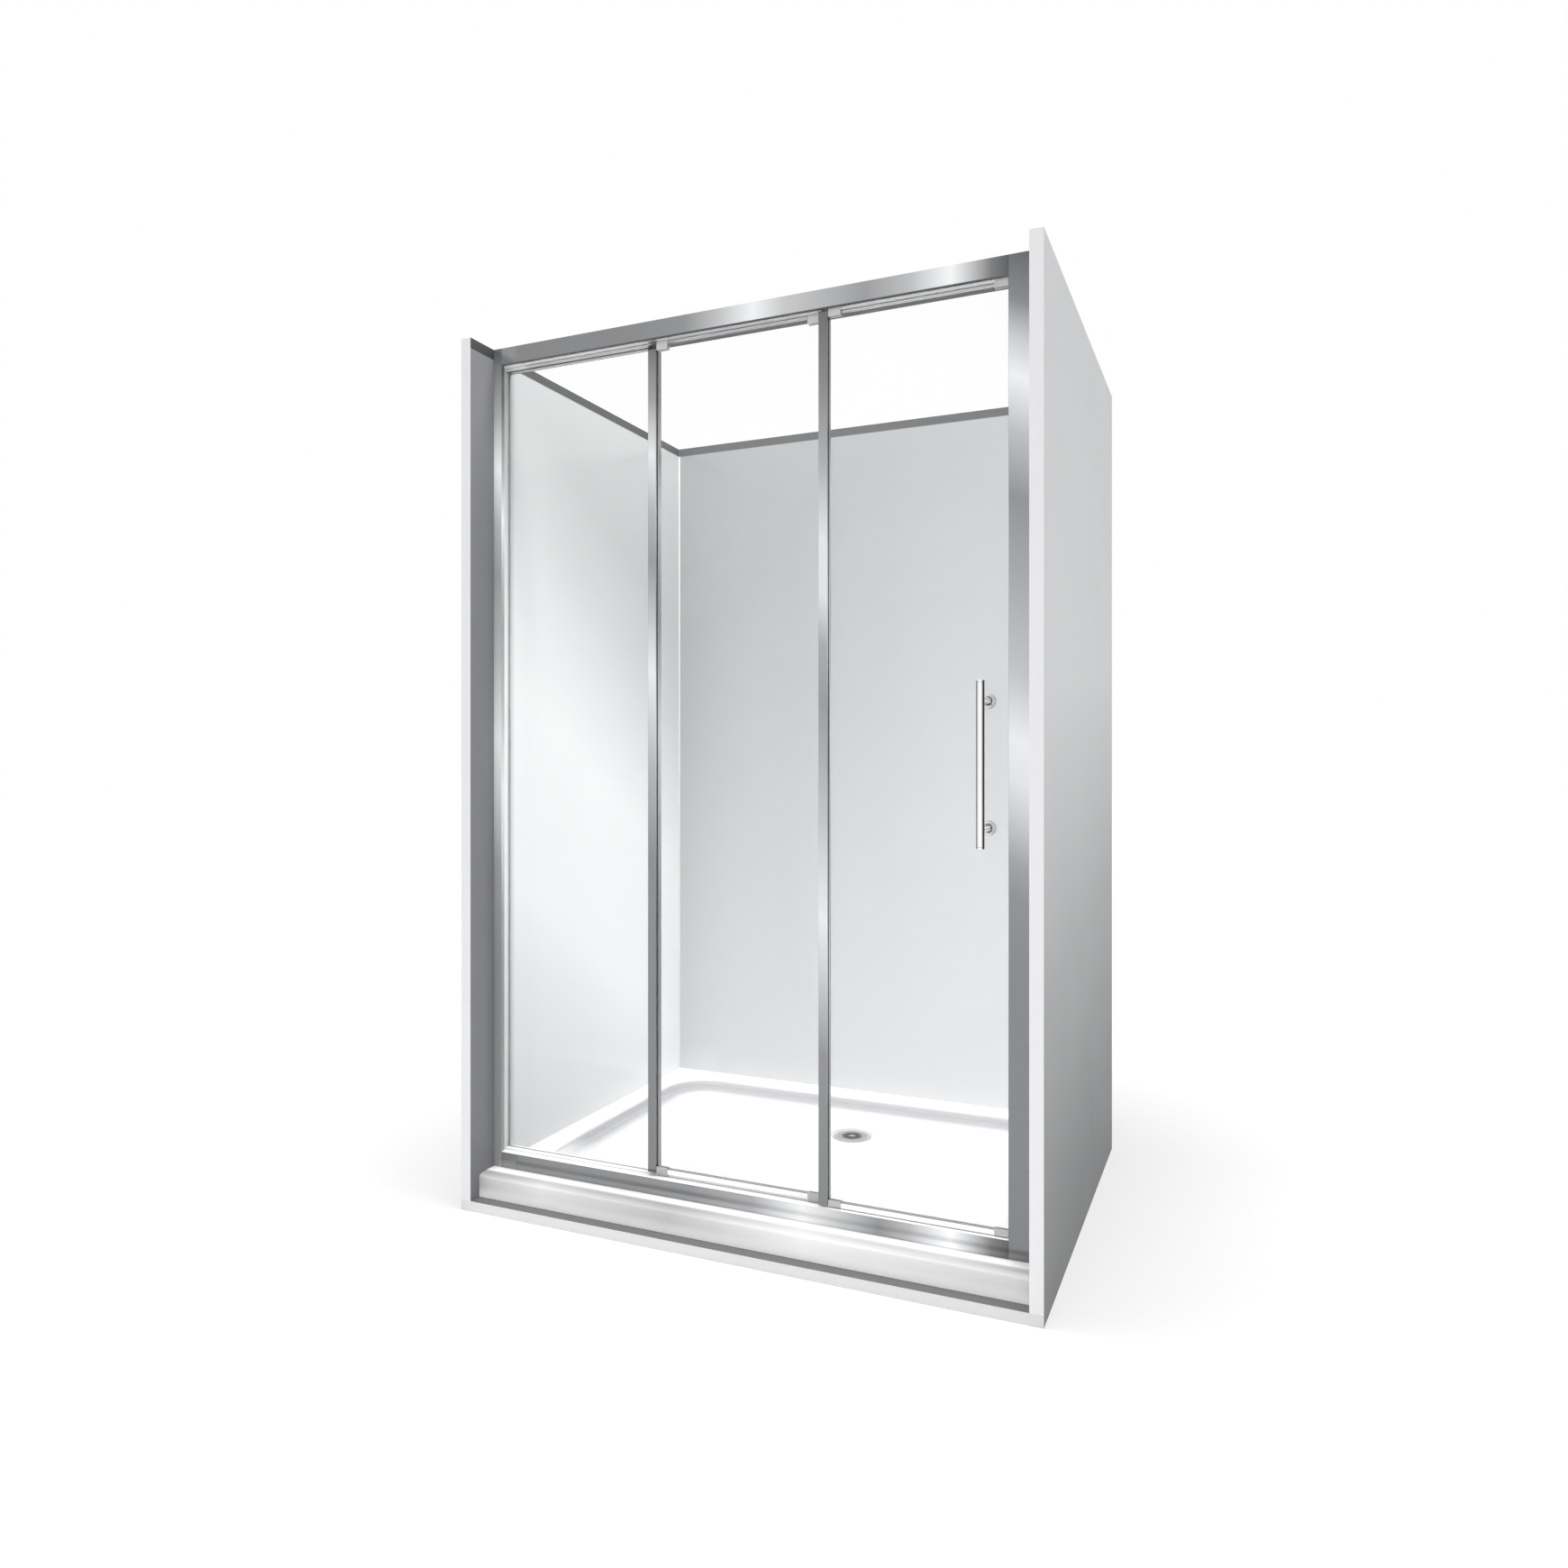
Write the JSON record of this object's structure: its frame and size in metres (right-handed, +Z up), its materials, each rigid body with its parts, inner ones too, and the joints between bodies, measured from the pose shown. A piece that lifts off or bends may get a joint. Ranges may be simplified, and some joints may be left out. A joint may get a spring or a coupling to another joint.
{
  "type": "shower enclosure",
  "caption": "Alcove shower enclosure with boarded walls, liners, cast tray with waste, framed clear glass panels, a fixed pane, and panels that roll aside on top wheels by a bar handle.",
  "frame": {"origin": "centre of the overall box at its underside, on the floor", "axes": "+X to the right seen from the doors, +Y from the doors to the back wall, +Z up"},
  "size_m": [1.25, 0.95, 1.89],
  "materials": {
    "boards": "painted matt board with pale front edges",
    "dowel_wood": "plain beech",
    "liner": "smooth white wall sheet",
    "tray": "polished white cast resin",
    "frame": "polished bright profile",
    "handle": "polished chrome",
    "waste_metal": "polished chrome",
    "waste_plastic": "moulded waste body",
    "glass": "clear toughened safety glass",
    "clear_seal": "clear flexible strip",
    "rubber": "soft black rubber",
    "nylon": "white running nylon",
    "steel": "stainless fastener",
    "hanger_metal": "satin clamp block",
    "magnet": "magnetic strip in a grey cover"
  },
  "bodies": {
    "enclosure": {"base_board": "boards", "wall_left": "boards", "wall_right": "boards", "wall_back": "boards", "panel_dowels": "dowel_wood", "liner_left": "liner", "liner_right": "liner", "liner_back": "liner", "shower_tray": "tray", "waste_flange": "waste_metal", "waste_gasket": "rubber", "waste_grate": "waste_metal", "waste_screw": "steel", "waste_body": "waste_plastic", "header_rail": "frame", "header_infill": "frame", "sill_rail": "frame", "sill_infill": "frame", "jamb_left": "frame", "jamb_right": "frame", "jamb_screws": "steel", "corner_screws": "steel", "jamb_magnet": "magnet", "header_stops": "rubber", "fixed_glass": "glass", "fixed_stile": "frame", "glazing_channel": "clear_seal", "glazing_gaskets": "rubber", "setting_blocks": "nylon"},
    "middle_panel": {"middle_glass": "glass", "middle_stile_left": "frame", "middle_stile_right": "frame", "middle_guides": "nylon", "middle_drip_seal": "clear_seal", "middle_pile_seal": "rubber", "middle_hanger_left": "hanger_metal", "middle_axle_left": "steel", "middle_hanger_right": "hanger_metal", "middle_axle_right": "steel"},
    "sliding_door": {"door_glass": "glass", "door_stile_left": "frame", "door_stile_right": "frame", "door_guides": "nylon", "door_drip_seal": "clear_seal", "door_pile_seal": "rubber", "door_hanger_left": "hanger_metal", "door_axle_left": "steel", "door_hanger_right": "hanger_metal", "door_axle_right": "steel", "door_magnet": "magnet", "handle_bar": "handle", "handle_posts": "handle", "handle_rosettes": "handle", "handle_studs": "steel", "handle_caps": "handle"},
    "middle_wheel_left_roller": {"middle_wheel_left": "nylon"},
    "middle_wheel_right_roller": {"middle_wheel_right": "nylon"},
    "door_wheel_left_roller": {"door_wheel_left": "nylon"},
    "door_wheel_right_roller": {"door_wheel_right": "nylon"}
  },
  "joints": [
    {"name": "door_slide", "type": "slide", "parent": "enclosure", "child": "sliding_door", "axis": [-1, 0, 0], "range_m": [0, 0.748]},
    {"name": "middle_slide", "type": "slide", "parent": "enclosure", "child": "middle_panel", "axis": [-1, 0, 0], "range_m": [0, 0.354]},
    {"name": "middle_wheel_left_spin", "type": "hinge", "parent": "middle_panel", "child": "middle_wheel_left_roller", "pos_m": [-0.1867, -0.3619, 1.8666], "axis": [0, -1, 0], "continuous": true},
    {"name": "middle_wheel_right_spin", "type": "hinge", "parent": "middle_panel", "child": "middle_wheel_right_roller", "pos_m": [0.1567, -0.3619, 1.8666], "axis": [0, -1, 0], "continuous": true},
    {"name": "door_wheel_left_spin", "type": "hinge", "parent": "sliding_door", "child": "door_wheel_left_roller", "pos_m": [0.2073, -0.3799, 1.8666], "axis": [0, -1, 0], "continuous": true},
    {"name": "door_wheel_right_spin", "type": "hinge", "parent": "sliding_door", "child": "door_wheel_right_roller", "pos_m": [0.5327, -0.3799, 1.8666], "axis": [0, -1, 0], "continuous": true}
  ],
  "couplings": [
    {"joint": "middle_wheel_left_spin", "follows": "middle_slide", "rad_per_m": 111.11},
    {"joint": "middle_wheel_right_spin", "follows": "middle_slide", "rad_per_m": 111.11},
    {"joint": "door_wheel_left_spin", "follows": "door_slide", "rad_per_m": 111.11},
    {"joint": "door_wheel_right_spin", "follows": "door_slide", "rad_per_m": 111.11}
  ]
}
